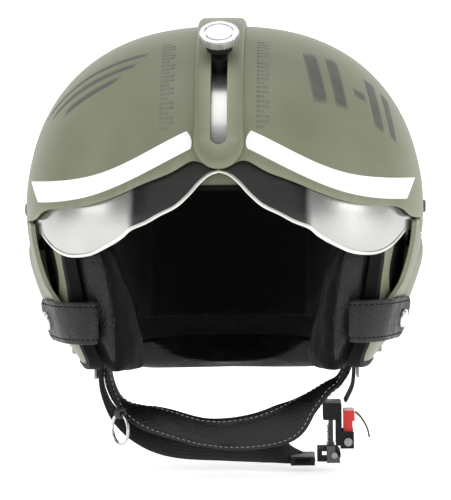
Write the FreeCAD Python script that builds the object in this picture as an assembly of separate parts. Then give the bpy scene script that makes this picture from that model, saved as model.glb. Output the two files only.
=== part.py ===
import FreeCAD, Part
import math
import os

# Open face motorcycle helmet in the style of a jet pilot's: a moulded shell, a bolted visor cover with a slotted
# ridge, a bubble visor that turns about two side pivots, side covers, leather edge straps and a padded chin strap.
#
# Frame, in millimetres: +X to the wearer's left, -Y forwards out of the face opening, +Z up. The origin is the centre
# of the head cavity, on the visor's pivot axis, which is the X axis.

V = FreeCAD.Vector

# Driving dimensions.
SHELL_HALF_WIDTH = 121.0
SHELL_FRONT = 110.5
SHELL_WALL = 4.0
TRIM_WALL = 0.8
TRIM_GRIP = 2.5
VISOR_HALF_WIDTH = 126.5
VISOR_RADIUS = 116.5
VISOR_WALL = 2.2
COVER_HALF_WIDTH = 131.0
COVER_RADIUS = 121.0
COVER_WALL = 3.0
RIDGE_HEIGHT = 5.5
RIDGE_HALF_WIDTH = 15.5
EPS_DEPTH = SHELL_WALL + 30.0
CLOTH_DEPTH = EPS_DEPTH + 10.0
FIT_GAP = 0.3
COVER_BACK_Y = 30.0

# Angles about the pivot axis, in degrees above the forward direction.
KNOB_ANGLE = 53.0
VISOR_TOP_ANGLE = 67.0
SLOT_LOW_ANGLE = 21.5
SLOT_HIGH_ANGLE = 58.0
SLOT_HALF_WIDTH = 5.25

PIVOT_SCREW_RADIUS = 2.5
PIVOT_BUSH_RADIUS = 6.0
KNOB_RADIUS = 13.0
KNOB_STEM_RADIUS = 3.0
KNOB_FACE = 140.0
KNOB_HEIGHT = 5.5
KNOB_SEAT_BASE = 128.0
KNOB_NOTCHES = 32
BLOCK_LOW_ANGLE = 49.5
BLOCK_HIGH_ANGLE = 55.6
STUD_RADIUS = 4.0
RIVET_RADIUS = 2.5
RIVET_HEAD_RADIUS = 5.0

# Side view outlines use (y, z), front view outlines (x, z).
BROW_Z = 13.5
RIM_Z = -103.0
FOAM_LOW_Z = -90.0
FAR = 400.0

# The chin strap hangs from one axis, parallel to X, through both of its rivets.
STRAP_Y = 6.0
STRAP_PIVOT_Z = -92.0
WEB_THICK = 2.2
WEB_X = 84.6
PLATE_X = 87.0
PLATE_THICK = 1.5
BUCKLE_LOW_Y = STRAP_Y - 14.0
BUCKLE_HIGH_Y = STRAP_Y + 14.0
# (x, z) of the two pins, which lie along Y.
LEVER_PIN = (80.2, -155.5)
TONGUE_PIN = (71.0, -164.5)
RING_HANG = V(-70, -18, -134.7)
RING_AXIS = V(0.574, -0.819, 0)
RING_RADIUS = 10.0
RING_WIRE = 1.1

# The leather edge straps: one band per side round the jaw, hinged at a crease.
LEATHER_Z = -72.0
LEATHER_HEIGHT = 28.0
LEATHER_THICK = 2.6
LEATHER_TILT = 14.0
CREASE_Y = -48.0
SNAP_Y = -25.0
SNAP_RADIUS = 6.2
NUT_RADIUS = 8.0


# ---------------------------------------------------------------- shapes

def save(name, *solids):
    """Writes the solids as one sub-part."""
    shape = solids[0] if len(solids) == 1 else Part.makeCompound(list(solids))
    shape.exportStep(os.path.join("parts", name + ".step"))
    print(name, round(shape.Volume / 1000, 2), "cm3", len(shape.Solids), shape.isValid())


def mirrored(shape):
    """The same shape on the other side of the YZ plane."""
    return shape.mirror(V(0, 0, 0), V(1, 0, 0))


def polar(angle, radius):
    """A point of a side view section: angle in degrees, 0 forwards and 90 up."""
    a = math.radians(angle)
    return (-radius * math.cos(a), radius * math.sin(a))


def clamped_knots(count, degree=3):
    """Even knots and their multiplicities for a curve that starts and ends on its poles."""
    spans = count - degree
    return [i / spans for i in range(spans + 1)], [degree + 1] + [1] * (spans - 1) + [degree + 1]


def egg(half_width, section, side_power=2.4, round_power=2.2, centre=(0.0, 0.0)):
    """A closed smooth solid. Its side view section, of (angle, radius) steps from the lowest point round by the back,
    shrinks along X as a superellipse, down to a pole on each side."""
    ring = [V(0, *polar(a, r)) for a, r in section]
    ring.append(ring[0])
    rows = []
    across = 16
    for i in range(across + 1):
        t = math.pi * i / across
        x = -half_width * math.copysign(abs(math.cos(t)) ** (2 / side_power), math.cos(t))
        share = abs(math.sin(t)) ** (2 / round_power) if 0 < i < across else 0.0
        rows.append([V(x, share * p.y, share * p.z) for p in ring])
    # An extra row beside each pole keeps the surface flat there.
    rows.insert(1, [V(-half_width, p.y / 2, p.z / 2) for p in rows[1]])
    rows.insert(-1, [V(half_width, p.y / 2, p.z / 2) for p in rows[-2]])
    u_knots, u_mults = clamped_knots(len(rows))
    v_knots, v_mults = clamped_knots(len(ring))
    surface = Part.BSplineSurface()
    surface.buildFromPolesMultsKnots(rows, u_mults, v_mults, u_knots, v_knots, False, False, 3, 3)
    solid = Part.Solid(Part.Shell([surface.toShape()]))
    if solid.Volume < 0:
        solid.reverse()
    solid.translate(V(0, *centre))
    return solid


# A round section's poles lie a little outside the curve that they make.
STEP = 10
POLE_GAIN = 6 / (4 + 2 * math.cos(math.radians(STEP)))


def section(radius_at, depth=0.0):
    """Pole steps of a section, from a function of the angle."""
    return [(a, (radius_at(a) - depth) * POLE_GAIN) for a in range(270, -90, -STEP)]


def barrel(half_width, radius):
    """The egg with a round section: what turns about the pivot axis. It starts at its lowest point."""
    return egg(half_width, section(lambda angle: radius))


def radius_between(table, angle):
    """The radius at an angle, from (angle, radius) stops that run down from 270 degrees to the same point again."""
    stops = table + [(table[0][0] - 360, table[0][1])]
    for (high, outer), (low, inner) in zip(stops, stops[1:]):
        if low <= angle <= high:
            return inner + (outer - inner) * (angle - low) / (high - low)
    raise ValueError(angle)


# The shell's middle section. It is round where the visor slides, long behind the ears and open below.
SHELL_STOPS = [(270, 152), (250, 155), (220, 160), (200, 157.5), (180, 155.5), (160, 154.5), (150, 151.5), (140, 145),
               (120, 126), (110, 118), (100, 113), (90, 111), (80, SHELL_FRONT), (-20, SHELL_FRONT), (-40, 112.6),
               (-50, 120), (-60, 138), (-70, 150)]

# The round jaw and ear bulge of a side cover, seen from the side about its own middle.
BULGE_MIDDLE = (4.0, -28.0)
BULGE_STOPS = [(270, 110), (235, 108), (210, 98), (180, 88), (135, 84), (90, 80), (45, 95), (0, 116), (-26, 108),
               (-37, 101), (-57, 104)]


def shell_layer(depth):
    """The solid inside the shell's outer surface, taken in by depth."""
    return egg(SHELL_HALF_WIDTH - depth, section(lambda angle: radius_between(SHELL_STOPS, angle), depth))


def bulge(depth):
    """The solid inside a side cover's jaw bulge, taken in by depth."""
    stops = section(lambda angle: radius_between(BULGE_STOPS, angle), depth)
    return egg(COVER_HALF_WIDTH - depth, stops, 2.6, 1.5, BULGE_MIDDLE)


def outline(corners):
    """A closed wire in a plane, from (u, v, radius) corners. Each corner is rounded with its radius."""
    edges = []
    count = len(corners)
    ends = []
    for i, (u, v, radius) in enumerate(corners):
        here = V(u, v, 0)
        before = V(*corners[i - 1][:2], 0) - here
        after = V(*corners[(i + 1) % count][:2], 0) - here
        before.normalize()
        after.normalize()
        if radius <= 0:
            ends.append((here, None, here))
            continue
        half = before.getAngle(after) / 2
        reach = radius / math.tan(half)
        middle = (before + after).normalize()
        to_arc = radius / math.sin(half) - radius
        ends.append((here + before * reach, here + middle * to_arc, here + after * reach))
    for i, (start, middle, end) in enumerate(ends):
        if middle is not None:
            edges.append(Part.Arc(start, middle, end).toShape())
        following = ends[(i + 1) % count][0]
        if end.distanceToPoint(following) > 1e-6:
            edges.append(Part.makeLine(end, following))
    return Part.Wire(edges)


SIDE_VIEW = FreeCAD.Matrix(0, 0, 1, 0, 1, 0, 0, 0, 0, 1, 0, 0, 0, 0, 0, 1)
FRONT_VIEW = FreeCAD.Matrix(1, 0, 0, 0, 0, 0, -1, 0, 0, 1, 0, 0, 0, 0, 0, 1)
TOP_VIEW = FreeCAD.Matrix()


def prism(wire, view, low, high):
    """The wire's face, pushed from low to high along the axis that the view looks down."""
    face = Part.Face(wire)
    solid = face.extrude(V(0, 0, high - low))
    solid.translate(V(0, 0, low))
    solid.Placement = FreeCAD.Placement(view).multiply(solid.Placement)
    return solid


def side_prism(corners, low=-FAR, high=FAR, grow=0.0):
    """A prism through the object from a side view outline of (y, z, radius) corners."""
    wire = outline(corners)
    if grow:
        wire = wire.makeOffset2D(grow)
    return prism(wire, SIDE_VIEW, low, high)


def front_prism(corners, start=0.0):
    """A prism from a front view outline of (x, z, radius) corners, running forwards from a depth of start."""
    return prism(outline(corners), FRONT_VIEW, start, FAR)


def below_edge(half_edge, start=0.0):
    """Everything below a symmetric front view curve, given as (x, z) points from the middle outwards."""
    right = [V(x, z, 0) for x, z in half_edge]
    left = [V(-p.x, p.y, 0) for p in right[:0:-1]]
    curve = Part.BSplineCurve()
    curve.interpolate(left + right)
    first, last = left[0], right[-1]
    corners = [last, V(FAR, last.y, 0), V(FAR, -FAR, 0), V(-FAR, -FAR, 0), V(-FAR, first.y, 0), first]
    edges = [curve.toShape()] + [Part.makeLine(p, q) for p, q in zip(corners, corners[1:])]
    return prism(Part.Wire(edges), FRONT_VIEW, start, FAR)


def cylinder(start, axis, length, radius):
    return Part.makeCylinder(radius, length, start, axis)


def x_cylinder(x, y, z, length, radius):
    return cylinder(V(x, y, z), V(1, 0, 0), length, radius)


def y_cylinder(x, z, radius, low=BUCKLE_LOW_Y, high=BUCKLE_HIGH_Y):
    return Part.makeCylinder(radius, high - low, V(x, low, z), V(0, 1, 0))


def box(x0, x1, y0, y1, z0, z1):
    return Part.makeBox(x1 - x0, y1 - y0, z1 - z0, V(x0, y0, z0))


def sector(low, high, radius=FAR, half_width=FAR):
    """A wedge about the pivot axis, between two angles above the forward direction."""
    a, b = math.radians(low), math.radians(high)
    points = [V(0, 0, 0)]
    for step in range(5):
        t = a + (b - a) * step / 4
        points.append(V(0, -radius * math.cos(t), radius * math.sin(t)))
    wire = Part.makePolygon(points + points[:1])
    solid = Part.Face(wire).extrude(V(2 * half_width, 0, 0))
    solid.translate(V(-half_width, 0, 0))
    return solid


def main_solid(shape):
    """The largest solid of a shape, without its scraps."""
    return max(shape.Solids, key=lambda s: s.Volume)


def strap(stations, thickness):
    """A flat strap lofted through (x, y, z, twist, width) stations. Twist 0 lies across Y and 90 stands up along Z."""
    middles = [V(x, y, z) for x, y, z, _, _ in stations]
    wires = []
    for i, (_, _, _, twist, width) in enumerate(stations):
        along = (middles[min(i + 1, len(middles) - 1)] - middles[max(i - 1, 0)]).normalize()
        a = math.radians(twist)
        wide = V(0, math.cos(a), math.sin(a))
        wide = (wide - along * wide.dot(along)).normalize()
        w = wide * (width / 2)
        t = along.cross(wide) * (thickness / 2)
        m = middles[i]
        wires.append(Part.makePolygon([m - w - t, m + w - t, m + w + t, m - w + t, m - w - t]))
    return Part.makeLoft(wires, True, False)


def rounded(solid, radius, wanted):
    """The solid with the wanted edges rounded."""
    edges = [e for e in solid.Edges if wanted(e)]
    return solid.makeFillet(radius, edges)


# ---------------------------------------------------------------- cutting outlines

# (y, z, corner radius): the shell's sides, with the face opening's edge first and the rim below.
SHELL_OUTLINE = [(-200, BROW_Z, 0), (-82, BROW_Z, 24), (-61, -30, 60), (-52, -58, 80), (-45, RIM_Z, 11),
                 (20, RIM_Z, 200), (200, RIM_Z + 6, 0), (200, 200, 0), (-200, 200, 0)]

# (x, z): the front edge of the visor cover, from the middle out.
COVER_EDGE = [(0, 27), (8, 28.6), (15, 31), (25, 26.5), (45, 18), (60, 11.5), (75, 6), (90, 2.8), (102, 1.8), (111, 0.8),
              (116, -1.5), (120, -5), (124, -6.5), (130, -6.5)]

# (x, z): the visor's lower edge, from the nose out.
VISOR_EDGE = [(0, 23.5), (6, 21.5), (12, 16.7), (19, 9), (27, 2), (37, -3), (46, -8), (55.5, -12), (62, -17.4),
              (73, -23.7), (81, -27.4), (90, -29), (98, -28.8), (105.6, -26), (111.4, -21.5), (116.6, -16),
              (122.6, -14), (130, -14)]

# (y, z, corner radius): the visor cover's side ears and rear edge.
COVER_SIDES = [(-200, -6.5, 0), (-32, -6.5, 10), (-20, -17, 10), (16, -17, 14), (COVER_BACK_Y, 10, 30),
               (COVER_BACK_Y, 200, 0), (-200, 200, 0)]

# (y, z, corner radius): a side cover's front edge, jaw, bottom, back and the line under the visor cover.
SIDE_COVER = [(-40, -8, 2.5), (-40.5, -48, 10), (-52, -70, 4), (-47, -98, 6), (64, -98, 30), (86, -40, 30),
              (70, 14, 20), (COVER_BACK_Y + 1, 14, 3), (COVER_BACK_Y + 1, 8, 3), (17, -18.5, 14), (-21, -18.5, 10),
              (-33, -8, 10)]


# ---------------------------------------------------------------- shell, linings and trim

def make_shell():
    """The moulded outer shell with its pivot holes."""
    wall = shell_layer(0).cut(shell_layer(SHELL_WALL)).common(side_prism(SHELL_OUTLINE))
    holes = [x_cylinder(side * 90 - (60 if side < 0 else 0), 0, 0, 60, PIVOT_SCREW_RADIUS) for side in (-1, 1)]
    holes += [x_cylinder(side * 90 - (30 if side < 0 else 0), STRAP_Y, STRAP_PIVOT_Z, 30, RIVET_RADIUS)
              for side in (-1, 1)]
    return main_solid(wall.cut(holes))



# (y, z, corner radius)
EPS_OUTLINE = [(-200, BROW_Z + 3, 0), (-66, BROW_Z + 3, 20), (-52, -14, 10), (16, -22, 20), (26, FOAM_LOW_Z, 8),
               (200, FOAM_LOW_Z, 0), (200, 200, 0), (-200, 200, 0)]
CLOTH_OUTLINE = [(-200, BROW_Z + 1.5, 0), (-64, BROW_Z + 1.5, 20), (-51, -14, 10), (17, -22, 20), (30, -76, 12),
                 (200, -84, 0), (200, 200, 0), (-200, 200, 0)]
CHEEK_OUTLINE = [(-65, -16, 12), (-52, -109, 14), (10, -109, 16), (14, -24, 8)]
# (x, y): the inner face of a cheek pad, seen from above.
CHEEK_INNER = [(30, -90, 0), (81, -90, 0), (75, -62, 6), (63, -40, 10), (53, -10, 20), (50, 40, 0), (30, 40, 0)]
# (x, z): how a cheek pad grows fuller towards the jaw, seen from the front.
CHEEK_SLOPE = [(20, 10, 0), (78, 10, 0), (75, -20, 20), (52, -96, 14), (58, -130, 0), (20, -130, 0)]
# (y, z, corner radius): the neck roll stands below the foam and a little below the shell's rim.
NECK_OUTLINE = [(56, -110, 9), (56, -84, 6), (200, -84, 0), (200, -110, 0)]
NECK_DEPTH = 32.0


def between(outer, inner, corners, low=-FAR, high=FAR):
    """The lining between two depths of the shell, trimmed to a side view outline."""
    lining = shell_layer(outer).cut(shell_layer(inner))
    return lining.common(side_prism(corners, low, high))


# x0, x1, y0, y1, z0, z1
STRAP_SPACE = (72.0, 102.0, -30.0, 44.0, -125.0, -55.0)


def strap_space():
    """The gap beside each cheek where the chin strap's ends hang and swing."""
    x0, x1, y0, y1, z0, z1 = STRAP_SPACE
    left = Part.makeBox(x1 - x0, y1 - y0, z1 - z0, V(x0, y0, z0))
    return [left, mirrored(left)]


def make_linings(leather_inside):
    """Foam, comfort cloth, cheek pads and neck roll. Each lies against the next without a gap."""
    foam = between(SHELL_WALL, EPS_DEPTH, EPS_OUTLINE).cut(strap_space())
    nuts = [x_cylinder(side * 112.5 - 4.5, 0, 0, 9, NUT_RADIUS) for side in (-1, 1)]
    save("eps_liner", main_solid(foam.cut(nuts)))
    save("comfort_liner", main_solid(between(EPS_DEPTH, CLOTH_DEPTH, CLOTH_OUTLINE).cut(strap_space())))
    cheek = shell_layer(SHELL_WALL + 1.5).common(side_prism(CHEEK_OUTLINE, 40, 200))
    inner = prism(outline(CHEEK_INNER), TOP_VIEW, -200, 50)
    slope = prism(outline(CHEEK_SLOPE), FRONT_VIEW, -FAR, FAR)
    cheek = main_solid(cheek.cut([inner, slope] + strap_space()))
    cheek = main_solid(cheek.cut(leather_inside))
    save("cheek_pad_left", cheek)
    save("cheek_pad_right", mirrored(cheek))
    neck = between(SHELL_WALL + 1.5, NECK_DEPTH, NECK_OUTLINE)
    save("neck_roll", main_solid(neck.cut(between(SHELL_WALL, EPS_DEPTH, EPS_OUTLINE))))


def make_trim(shell):
    """The rubber channel pushed over the whole edge of the shell."""
    lip = shell_layer(-TRIM_WALL).cut(shell_layer(SHELL_WALL + TRIM_WALL))
    outer = side_prism(SHELL_OUTLINE, grow=TRIM_WALL)
    inner = side_prism(SHELL_OUTLINE, grow=-TRIM_GRIP)
    channel = lip.common(outer).cut(inner)
    return main_solid(channel.cut(shell))


# ---------------------------------------------------------------- visor cover and side covers

def slot_prism(low, high, half_width, inner, outer):
    """A round ended slot along the ridge, between two angles about the pivot axis."""
    wedge = sector(low, high, half_width=half_width)
    ends = []
    for angle in (low, high):
        y, z = polar(angle, 1)
        ends.append(cylinder(V(0, y * inner, z * inner), V(0, y, z), outer - inner, half_width))
    # The round ends are square to the surface, so the wedge's flat ends pass through their middles.
    ring = barrel(COVER_HALF_WIDTH * 2, outer).cut(barrel(COVER_HALF_WIDTH * 2, inner))
    return ring.common(wedge).fuse(ends)


def make_cover():
    """The visor cover: a thin dome with a raised ridge, a slot for the knob and a closed rear edge."""
    inside = barrel(COVER_HALF_WIDTH - COVER_WALL, COVER_RADIUS - COVER_WALL)
    dome = barrel(COVER_HALF_WIDTH, COVER_RADIUS).cut(inside)
    sides = side_prism(COVER_SIDES)
    dome = dome.common(sides).cut(below_edge(COVER_EDGE, 30))
    w = RIDGE_HALF_WIDTH
    stripe = front_prism([(-w, 26, w), (w, 26, w), (w, 200, 0), (-w, 200, 0)], -COVER_BACK_Y)
    ridge = main_solid(barrel(COVER_HALF_WIDTH, COVER_RADIUS + RIDGE_HEIGHT).cut(inside).common(stripe))
    outer = COVER_RADIUS + 3
    ridge = rounded(ridge, 4.0, lambda e: on_radius(e, outer) and e.BoundBox.YMax - e.BoundBox.YMin > 1)
    dome = main_solid(dome.fuse(ridge))
    rear = barrel(COVER_HALF_WIDTH, COVER_RADIUS).cut(shell_layer(0)).common(sides)
    rear = rear.common(Part.makeBox(300, 3, 200, V(-150, COVER_BACK_Y - 3, -1)))
    dome = dome.fuse(main_solid(rear))
    holes = [x_cylinder(side * 130 - 5, 0, 0, 10, PIVOT_SCREW_RADIUS) for side in (-1, 1)]
    slot = slot_prism(SLOT_LOW_ANGLE, SLOT_HIGH_ANGLE, SLOT_HALF_WIDTH, 105, 135)
    return main_solid(dome.cut(holes + [slot]))


def on_radius(edge, radius):
    """Whether an edge's two ends and middle stay at or outside a radius about the pivot axis."""
    first, last = edge.ParameterRange
    return all(math.hypot(edge.valueAt(t).y, edge.valueAt(t).z) > radius for t in (first, (first + last) / 2, last))


def visor_pocket():
    """The space that a side cover leaves for the lowered visor and its turning ear."""
    path = barrel(COVER_HALF_WIDTH - COVER_WALL + 0.2, COVER_RADIUS - COVER_WALL + 0.4).common(sector(-62, 42))
    ear = x_cylinder(118, 0, 0, COVER_HALF_WIDTH - COVER_WALL - 118, 24)
    return [path, ear]


def make_side_cover():
    """The left side cover. Its thin front wall hides the visor's edge, and its jaw end closes down on the shell."""
    body = barrel(COVER_HALF_WIDTH, COVER_RADIUS).fuse(bulge(0))
    body = body.common(side_prism(SIDE_COVER, 60, 200))
    body = body.cut(shell_layer(0))
    hollow = bulge(COVER_WALL).common(Part.makeBox(60, 60, 62, V(90, -14, -70)))
    rivet_space = x_cylinder(WEB_X, STRAP_Y, STRAP_PIVOT_Z, rivet_face() + FIT_GAP - WEB_X, RIVET_HEAD_RADIUS + FIT_GAP)
    return main_solid(body.cut(visor_pocket() + [hollow, rivet_space]))


def rivet_face():
    """How far out the chin strap's rivet heads stand."""
    return surface_x(shell_layer(0), STRAP_Y, STRAP_PIVOT_Z) + 1.6


SCREW_PLACES = [(38.0, -30.0), (24.0, -76.0)]


def surface_x(shape, y, z):
    """How far out a shape reaches on the left side, along a line parallel to X."""
    line = Part.makeLine(V(60, y, z), V(200, y, z))
    return max([v.X for v in shape.common(line).Vertexes], default=0.0)


# ---------------------------------------------------------------- visor

def make_visor():
    """The bubble visor with its nose curve, side lobes and pivot ears."""
    sheet = barrel(VISOR_HALF_WIDTH, VISOR_RADIUS).cut(
        barrel(VISOR_HALF_WIDTH - VISOR_WALL, VISOR_RADIUS - VISOR_WALL))
    top = VISOR_TOP_ANGLE
    y, z = polar(top, 180)
    sides = [(-200, -60, 0), (-50, -60, 0), (-34, -14, 8), (14, -14, 14), (14, 14, 13), (-18, 22, 30), (y, z, 0),
             (-200, z, 0)]
    sheet = sheet.common(side_prism(sides)).cut(below_edge(VISOR_EDGE))
    holes = [x_cylinder(side * 126 - 8, 0, 0, 16, PIVOT_BUSH_RADIUS + FIT_GAP) for side in (-1, 1)]
    holes.append(knob_cylinder(100, 130, KNOB_STEM_RADIUS))
    return main_solid(sheet.cut(holes))


def knob_cylinder(inner, outer, radius):
    """A round bar along the knob's axis, between two distances from the pivot axis."""
    y, z = polar(KNOB_ANGLE, 1)
    return cylinder(V(0, y * inner, z * inner), V(0, y, z), outer - inner, radius)


def make_knob_parts():
    """The slider that runs in the slot, its clamp plate inside the visor, and the knurled knob."""
    face = barrel(VISOR_HALF_WIDTH, VISOR_RADIUS)
    inside = barrel(VISOR_HALF_WIDTH - VISOR_WALL, VISOR_RADIUS - VISOR_WALL)
    half = SLOT_HALF_WIDTH - 0.35
    block = slot_prism(BLOCK_LOW_ANGLE, BLOCK_HIGH_ANGLE, half, 110, KNOB_SEAT_BASE)
    collar = knob_cylinder(KNOB_SEAT_BASE, KNOB_FACE - KNOB_HEIGHT, 8.5)
    stem = knob_cylinder(KNOB_SEAT_BASE - 8, KNOB_FACE - 2.5, KNOB_STEM_RADIUS)
    slider = main_solid(block.cut(face).fuse([collar, stem]))
    save("slider_block", slider)
    plate = knob_cylinder(111.2, 118, 7.0).common(inside)
    save("knob_clamp_plate", main_solid(plate))
    screw = knob_cylinder(111.2, KNOB_SEAT_BASE - 8, KNOB_STEM_RADIUS)
    save("knob_clamp_screw", main_solid(screw.cut([plate, slider])))
    knob = knob_cylinder(KNOB_FACE - KNOB_HEIGHT + FIT_GAP, KNOB_FACE, KNOB_RADIUS)
    knob = rounded(knob, 1.0, lambda e: on_radius(e, KNOB_FACE - 9) and math.hypot(
        e.CenterOfMass.y, e.CenterOfMass.z) > KNOB_FACE - 0.1)
    notches = []
    axis = V(0, *polar(KNOB_ANGLE, 1))
    notch = knob_cylinder(KNOB_FACE - 8, KNOB_FACE + 2, 1.1)
    notch.translate(V(KNOB_RADIUS + 0.35, 0, 0))
    for i in range(KNOB_NOTCHES):
        turned = notch.copy()
        turned.rotate(V(0, 0, 0), axis, 360.0 * i / KNOB_NOTCHES)
        notches.append(turned)
    groove = knob_cylinder(KNOB_FACE - 0.7, KNOB_FACE + 1, 9.5).cut(knob_cylinder(KNOB_FACE - 0.7, KNOB_FACE + 1, 8.5))
    bore = knob_cylinder(KNOB_FACE - 8, KNOB_FACE - 2.2, KNOB_STEM_RADIUS + FIT_GAP)
    save("lock_knob", main_solid(knob.cut(notches + [groove, bore])))


# ---------------------------------------------------------------- screws and leather edge straps

def make_pivots():
    """Shoulder screws, spacers and nuts that the visor turns on, and the side covers' screws."""
    bush_start = SHELL_HALF_WIDTH
    bush = x_cylinder(bush_start, 0, 0, COVER_HALF_WIDTH - COVER_WALL - bush_start, PIVOT_BUSH_RADIUS)
    bush = bush.common(barrel(COVER_HALF_WIDTH - COVER_WALL, COVER_RADIUS - COVER_WALL))
    bush = main_solid(bush.cut([shell_layer(0), x_cylinder(100, 0, 0, 40, PIVOT_SCREW_RADIUS)]))
    save("visor_bush_left", bush)
    save("visor_bush_right", mirrored(bush))
    head = x_cylinder(COVER_HALF_WIDTH, 0, 0, 1.8, 4.2)
    head = rounded(head, 1.0, lambda e: e.BoundBox.XMin > COVER_HALF_WIDTH + 1.5)
    slot = Part.makeBox(3, 5.6, 1.0, V(COVER_HALF_WIDTH + 1.1, -2.8, -0.5))
    screw = head.fuse(x_cylinder(109, 0, 0, COVER_HALF_WIDTH - 109, PIVOT_SCREW_RADIUS)).cut(slot)
    save("pivot_screw_left", main_solid(screw))
    save("pivot_screw_right", mirrored(main_solid(screw)))
    nut = x_cylinder(108, 0, 0, 9, NUT_RADIUS - 0.2).common(shell_layer(SHELL_WALL))
    nut = main_solid(nut.cut(x_cylinder(100, 0, 0, 40, PIVOT_SCREW_RADIUS)))
    save("pivot_nut_left", nut)
    save("pivot_nut_right", mirrored(nut))


def make_side_screws(side_cover):
    """Two small screws per side that hold the side cover to the shell."""
    screws = []
    for y, z in SCREW_PLACES:
        x = surface_x(side_cover, y, z)
        head = x_cylinder(x - 1.0, y, z, 2.2, 4.0)
        screws.append(head.fuse(x_cylinder(x - 14, y, z, 13, 1.5)))
    return screws


def leg_x(surface, y):
    """Where the leather's middle runs at a depth, just clear of the surface over its whole height."""
    reach = 0.0
    for part in (-0.5, 0.0, 0.5):
        z = LEATHER_Z + part * LEATHER_HEIGHT
        lean = part * LEATHER_HEIGHT * math.tan(math.radians(LEATHER_TILT))
        reach = max(reach, surface_x(surface, y, z) - lean)
    return reach + LEATHER_THICK / 2 + 0.5


def leather(points, tilt_from):
    """A standing leather band through (x, y) points. It leans back to upright below the tilt_from width."""
    wires = []
    middles = [V(x, y, LEATHER_Z) for x, y in points]
    for i, m in enumerate(middles):
        along = (middles[min(i + 1, len(middles) - 1)] - middles[max(i - 1, 0)]).normalize()
        share = min(1.0, max(0.0, (m.x - tilt_from) / 14.0))
        lean = math.tan(math.radians(LEATHER_TILT)) * share
        half = V(lean * LEATHER_HEIGHT / 2, 0, LEATHER_HEIGHT / 2)
        t = V(along.y, -along.x, 0) * (LEATHER_THICK / 2)
        wires.append(Part.makePolygon([m - half - t, m + half - t, m + half + t, m - half + t, m - half - t]))
    return Part.makeLoft(wires, True, False)


def make_leather(side_cover, shell):
    """The flap that opens, and the fixed length that folds round the jaw and back inside."""
    surface = side_cover.fuse(shell)
    outer = [(leg_x(surface, y), y) for y in (-10.0, -18.0, -26.0, -34.0, -41.0)]
    x_crease = outer[-1][0] - 2.4
    outer.append((x_crease, CREASE_Y + 0.3))
    flap = leather(outer, 84)
    fold = [(x_crease, CREASE_Y - 0.3), (x_crease - 2.6, -53.5), (x_crease - 8, -59.5), (x_crease - 14.5, -63.5),
            (x_crease - 21, -64), (x_crease - 25.5, -60.5), (x_crease - 25, -55), (x_crease - 20, -51),
            (90.5, -47.5), (93.2, -42), (97.0, -33), (99.5, -24)]
    fixed = leather(fold, 84)
    flap = main_solid(flap.cut(beyond_round_tail()))
    x = leg_x(surface, SNAP_Y)
    slope = V(outer[1][0] - outer[3][0], outer[1][1] - outer[3][1], 0).normalize()
    lean = V(math.tan(math.radians(LEATHER_TILT)), 0, 1)
    normal = slope.cross(lean).normalize()
    if normal.x < 0:
        normal = normal * -1
    middle = V(x, SNAP_Y, LEATHER_Z)
    face = middle + normal * (LEATHER_THICK / 2)
    flap = flap.cut(cylinder(middle - normal * 5, normal, 10, STUD_RADIUS + 0.4))
    cap = cylinder(face + normal * 0.2, normal, 2.4, SNAP_RADIUS)
    cap = cap.makeFillet(1.5, [max(cap.Edges, key=lambda e: e.CenterOfMass.dot(normal))])
    stud = cylinder(middle - normal * 8, normal, 8 + LEATHER_THICK / 2 - 0.4, STUD_RADIUS).cut(side_cover)
    return main_solid(flap), fixed, cap, main_solid(stud.cut(shell)), (x_crease, CREASE_Y)


def beyond_round_tail():
    """What to cut from the flap to round its free end."""
    radius = LEATHER_HEIGHT * 0.62
    middle_y = -10.5 - radius
    past = box(60, 140, middle_y, 5, LEATHER_Z - 40, LEATHER_Z + 40)
    return past.cut(x_cylinder(55, middle_y, LEATHER_Z, 90, radius))


# ---------------------------------------------------------------- chin strap

def make_rivets():
    """The rivets through the shell that carry the chin strap."""
    dome = shell_layer(0)
    z = STRAP_PIVOT_Z
    face = rivet_face()
    start = WEB_X - 3.2
    shaft = x_cylinder(start, STRAP_Y, z, face - start, RIVET_RADIUS)
    inner_head = x_cylinder(start, STRAP_Y, z, 1.5, RIVET_HEAD_RADIUS)
    outer_head = x_cylinder(face - 5.8, STRAP_Y, z, 5.8, RIVET_HEAD_RADIUS).cut(dome)
    spacer = x_cylinder(PLATE_X + PLATE_THICK / 2 + 0.4, STRAP_Y, z, face - PLATE_X, 4.0).common(shell_layer(SHELL_WALL))
    rivet = main_solid(shaft.fuse([inner_head, main_solid(outer_head), main_solid(spacer)]))
    save("strap_rivet_left", rivet)
    save("strap_rivet_right", mirrored(rivet))


def make_anchor():
    """The tapered steel plate at the top of each end of the chin strap."""
    corners = [(STRAP_Y - 10, STRAP_PIVOT_Z + 9, 5), (STRAP_Y - 13, -113, 2), (STRAP_Y + 13, -113, 2),
               (STRAP_Y + 10, STRAP_PIVOT_Z + 9, 5)]
    plate = side_prism(corners, PLATE_X - PLATE_THICK / 2, PLATE_X + PLATE_THICK / 2)
    return plate.cut(x_cylinder(80, STRAP_Y, STRAP_PIVOT_Z, 20, RIVET_RADIUS + FIT_GAP))


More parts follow.
